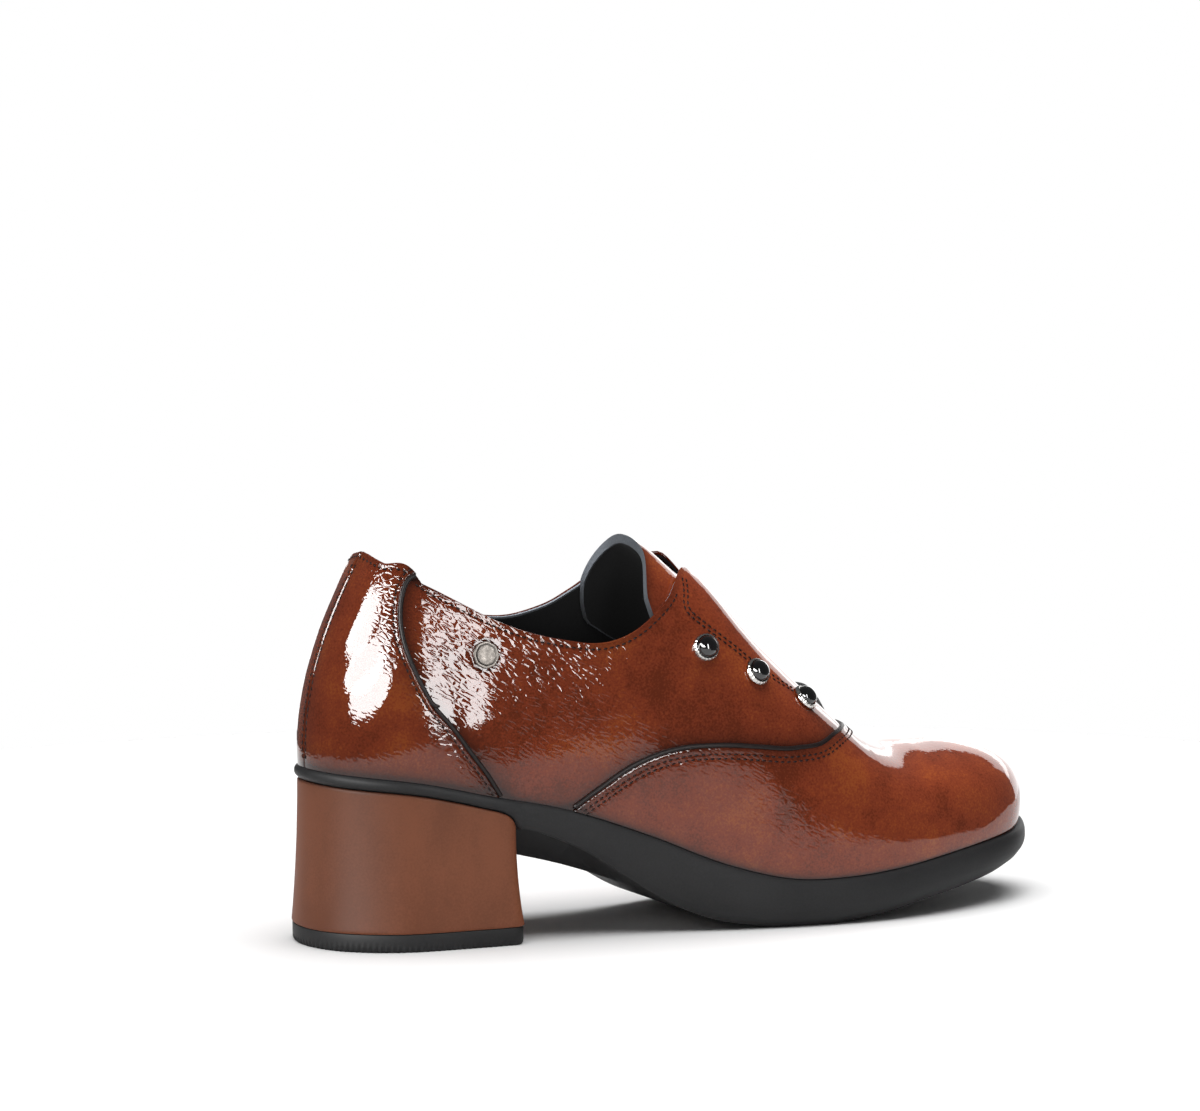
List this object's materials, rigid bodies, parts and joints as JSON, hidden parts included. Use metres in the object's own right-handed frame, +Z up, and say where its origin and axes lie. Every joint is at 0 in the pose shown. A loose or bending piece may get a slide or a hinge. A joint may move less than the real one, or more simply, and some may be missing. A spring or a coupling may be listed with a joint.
{
  "type": "slip-on heeled shoe, right foot",
  "caption": "Slip-on patent leather shoe with a block heel, a padded tongue, an elastic throat and metal-set studs on both flaps.",
  "frame": {"origin": "middle of the shoe's bounding box in plan, on the floor plane under the heel and the ball", "axes": "+X to the toe, along the foot; +Y to the shoe's left, which is the foot's inner side; +Z up"},
  "size_m": [0.257, 0.0872, 0.1217],
  "materials": {
    "patent_upper": "glossy patent, burnished",
    "sole": "matt moulded",
    "heel_block": "satin",
    "top_piece": "matt",
    "sock": "matt",
    "elastic": "ribbed",
    "bezel": "polished",
    "stone": "polished",
    "badge": "satin, worn bright"
  },
  "bodies": {
    "root": {"outsole": "sole", "heel": "heel_block", "top_lift": "top_piece", "upper": "patent_upper", "insole": "sock", "tongue": "patent_upper", "elastic_gore": "elastic", "stud_bezel_outer_1": "bezel", "stud_bezel_outer_2": "bezel", "stud_bezel_outer_3": "bezel", "stud_bezel_inner_1": "bezel", "stud_bezel_inner_2": "bezel", "stud_bezel_inner_3": "bezel", "stud_stone_outer_1": "stone", "stud_stone_outer_2": "stone", "stud_stone_outer_3": "stone", "stud_stone_inner_1": "stone", "stud_stone_inner_2": "stone", "stud_stone_inner_3": "stone", "badge": "badge"}
  },
  "joints": []
}
